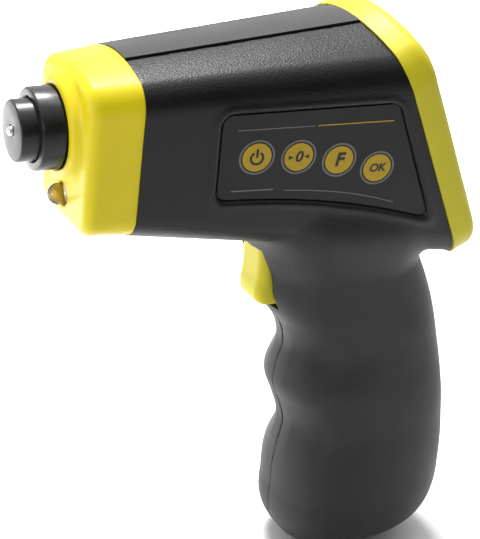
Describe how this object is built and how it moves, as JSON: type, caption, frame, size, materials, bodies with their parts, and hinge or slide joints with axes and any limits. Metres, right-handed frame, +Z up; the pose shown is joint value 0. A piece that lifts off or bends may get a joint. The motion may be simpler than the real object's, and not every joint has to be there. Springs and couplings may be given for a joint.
{
  "type": "pistol-grip coating thickness gauge",
  "caption": "Handheld pistol-grip gauge with a sprung contact probe, keypad, display and trigger, for the thickness of paint on metal.",
  "frame": {"origin": "on the probe's axis, at the front face of the fixed probe collar", "axes": "-X points out of the probe, +Z is up along the grip, -Y is the keypad side"},
  "size_m": [0.121, 0.0484, 0.1482],
  "materials": {
    "black_housing": "fine pebble grain",
    "yellow_plastic": "smooth semi-gloss",
    "yellow_key": "satin moulded",
    "panel_film": "matte printed film",
    "black_anodised": "black anodised",
    "bright_steel": "ground",
    "zinc_steel": "zinc plated",
    "window": "clear",
    "display": "liquid crystal glass",
    "white_plastic": "moulded",
    "board": "solder mask",
    "black_plastic": "moulded",
    "lamp_lens": "clear epoxy",
    "copper": "enamelled winding",
    "lead_red": "insulation",
    "battery_case": "plain sleeve"
  },
  "bodies": {
    "housing": {"left_shell": "black_housing", "right_shell": "black_housing", "top_spine": "black_housing", "nose_cap": "yellow_plastic", "rear_bezel": "yellow_plastic", "display_window": "window", "display_glass": "display", "backlight_frame": "white_plastic", "main_board": "board", "board_screws": "zinc_steel", "buzzer": "black_plastic", "keypad_overlay": "panel_film", "side_label": "panel_film", "keypad_board": "board", "snap_domes": "bright_steel", "trigger_pin": "bright_steel", "trigger_switch": "black_plastic", "trigger_spring": "bright_steel", "probe_collar": "black_anodised", "probe_spring": "bright_steel", "probe_clip": "bright_steel", "probe_lead": "lead_red", "lamp": "lamp_lens", "lamp_lead": "lead_red", "battery": "battery_case", "battery_snap": "black_plastic", "battery_leads": "lead_red", "housing_screws": "zinc_steel"},
    "probe": {"probe_plunger": "black_anodised", "probe_core": "bright_steel", "contact_ball": "bright_steel", "probe_coil": "copper"},
    "trigger": {"trigger": "yellow_plastic"},
    "battery_door": {"battery_door": "black_housing"},
    "key_power": {"key_power": "yellow_key"},
    "key_zero": {"key_zero": "yellow_key"},
    "key_function": {"key_function": "yellow_key"},
    "key_ok": {"key_ok": "yellow_key"}
  },
  "joints": [
    {"name": "probe_slide", "type": "slide", "parent": "housing", "child": "probe", "axis": [1, 0, 0], "range_m": [0, 0.0025], "stiffness_N_per_m": 600, "springref_m": -0.002, "deforming": ["probe_spring"]},
    {"name": "trigger_pull", "type": "hinge", "parent": "housing", "child": "trigger", "pos_m": [0.0655, 0, -0.032], "axis": [0, -1, 0], "range_deg": [0, 6], "stiffness_Nm_per_rad": 0.5, "springref_deg": -3.44, "deforming": ["trigger_spring"]},
    {"name": "battery_door_pull", "type": "slide", "parent": "housing", "child": "battery_door", "axis": [0, 1, 0], "range_m": [0, 0.03]},
    {"name": "key_power_press", "type": "slide", "parent": "housing", "child": "key_power", "axis": [0.0841, 0.9899, 0.1138], "range_m": [0, 0.0004], "stiffness_N_per_m": 3000, "springref_m": -0.0002},
    {"name": "key_zero_press", "type": "slide", "parent": "housing", "child": "key_zero", "axis": [0.0841, 0.9899, 0.1138], "range_m": [0, 0.0004], "stiffness_N_per_m": 3000, "springref_m": -0.0002},
    {"name": "key_function_press", "type": "slide", "parent": "housing", "child": "key_function", "axis": [0.0841, 0.9899, 0.1138], "range_m": [0, 0.0004], "stiffness_N_per_m": 3000, "springref_m": -0.0002},
    {"name": "key_ok_press", "type": "slide", "parent": "housing", "child": "key_ok", "axis": [0.0841, 0.9899, 0.1138], "range_m": [0, 0.0004], "stiffness_N_per_m": 3000, "springref_m": -0.0002}
  ]
}
